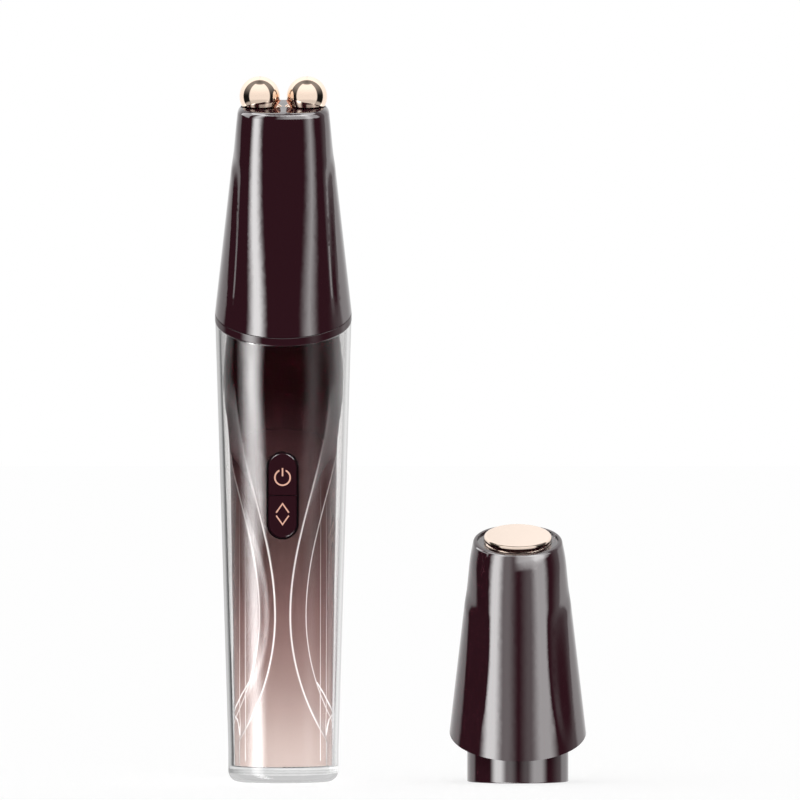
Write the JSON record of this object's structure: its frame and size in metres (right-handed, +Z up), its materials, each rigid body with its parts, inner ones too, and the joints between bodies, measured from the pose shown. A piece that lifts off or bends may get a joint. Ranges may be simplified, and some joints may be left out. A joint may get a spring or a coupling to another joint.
{
  "type": "facial light therapy device",
  "caption": "Handheld facial light therapy wand: clear handle with sculpted core, two-key pad, pull-off roller-ball head, and a spare light head with a polished plate.",
  "frame": {"origin": "centre of the flat base of the handle, on the surface that it stands on", "axes": "+Z up along the handle, -Y towards the side with the keys, +X towards the spare head"},
  "size_m": [0.1001, 0.0368, 0.1904],
  "materials": {
    "clear_acrylic": "clear polished acrylic",
    "core_paint": "gloss paint that fades from near-black burgundy to pale rose",
    "burgundy_gloss": "high-gloss dark burgundy lacquer",
    "black_gloss": "gloss black",
    "rose_gold": "mirror-polished rose-gold plating on brass",
    "gold_contact": "gold-plated contact",
    "steel": "plain machined steel",
    "steel_can": "drawn steel can",
    "black_rubber": "matt black silicone",
    "chassis_plastic": "natural white moulded plastic",
    "battery_wrap": "shrink-wrapped cell",
    "circuit_board": "green solder mask",
    "chip_black": "moulded black component",
    "flex_film": "amber flexible film",
    "smoked_diffuser": "smoked translucent plastic",
    "led_lens": "clear-yellow emitter",
    "bush_plastic": "rose-coloured bearing plastic"
  },
  "bodies": {
    "handle": {"clear_shell": "clear_acrylic", "core_sleeve": "core_paint", "collar_ring": "burgundy_gloss", "socket_seal": "black_rubber", "socket_floor": "chassis_plastic", "floor_screws": "steel", "contact_block": "chip_black", "contact_pins": "gold_contact", "chassis": "chassis_plastic", "battery": "battery_wrap", "battery_tabs": "steel", "main_board": "circuit_board", "board_chips": "chip_black", "key_switches": "steel", "key_mat": "black_rubber", "key_bezel": "black_gloss", "motor_can": "steel_can", "motor_sleeve": "black_rubber", "flex_cable": "flex_film", "charge_board": "circuit_board", "charge_board_screws": "steel", "charging_socket": "steel_can", "port_bezel": "black_gloss"},
    "power_button": {"power_key": "burgundy_gloss", "power_icon": "rose_gold"},
    "level_button": {"level_key": "burgundy_gloss", "level_icon": "rose_gold"},
    "motor_rotor": {"motor_shaft": "steel", "eccentric_weight": "steel"},
    "roller_head": {"roller_shell": "burgundy_gloss", "roller_spigot": "burgundy_gloss", "roller_contact_board": "circuit_board", "roller_pads": "gold_contact", "axle_bracket": "rose_gold", "axle_clips": "steel", "roller_saddle": "burgundy_gloss", "stem_nut": "steel", "saddle_screws": "steel", "contact_strip": "gold_contact"},
    "left_roller": {"left_ball": "rose_gold", "left_bush": "bush_plastic"},
    "right_roller": {"right_ball": "rose_gold", "right_bush": "bush_plastic"},
    "spare_head": {"spare_shell": "burgundy_gloss", "spare_spigot": "burgundy_gloss", "spare_contact_board": "circuit_board", "spare_pads": "gold_contact", "treatment_plate": "rose_gold", "light_ring": "smoked_diffuser", "led_emitters": "led_lens", "led_board": "circuit_board", "plate_nut": "steel", "spare_ribbon": "flex_film"}
  },
  "joints": [
    {"name": "power_press", "type": "slide", "parent": "handle", "child": "power_button", "axis": [0, 1, 0], "range_m": [0, 0.0005], "stiffness_N_per_m": 400},
    {"name": "level_press", "type": "slide", "parent": "handle", "child": "level_button", "axis": [0, 1, 0], "range_m": [0, 0.0005], "stiffness_N_per_m": 400},
    {"name": "motor_spin", "type": "hinge", "parent": "handle", "child": "motor_rotor", "pos_m": [0, 0.002, 0.097], "axis": [0, 0, 1], "continuous": true},
    {"name": "roller_head_pull", "type": "slide", "parent": "handle", "child": "roller_head", "axis": [0, 0, 1], "range_m": [0, 0.02]},
    {"name": "left_ball_spin", "type": "hinge", "parent": "roller_head", "child": "left_roller", "pos_m": [-0.00637, 0, 0.18495], "axis": [-0.848, 0, 0.5299], "continuous": true},
    {"name": "right_ball_spin", "type": "hinge", "parent": "roller_head", "child": "right_roller", "pos_m": [0.00637, 0, 0.18495], "axis": [0.848, 0, 0.5299], "continuous": true},
    {"name": "spare_head_lift", "type": "slide", "parent": "handle", "child": "spare_head", "axis": [0, 0, 1], "range_m": [0, 0.05]}
  ]
}
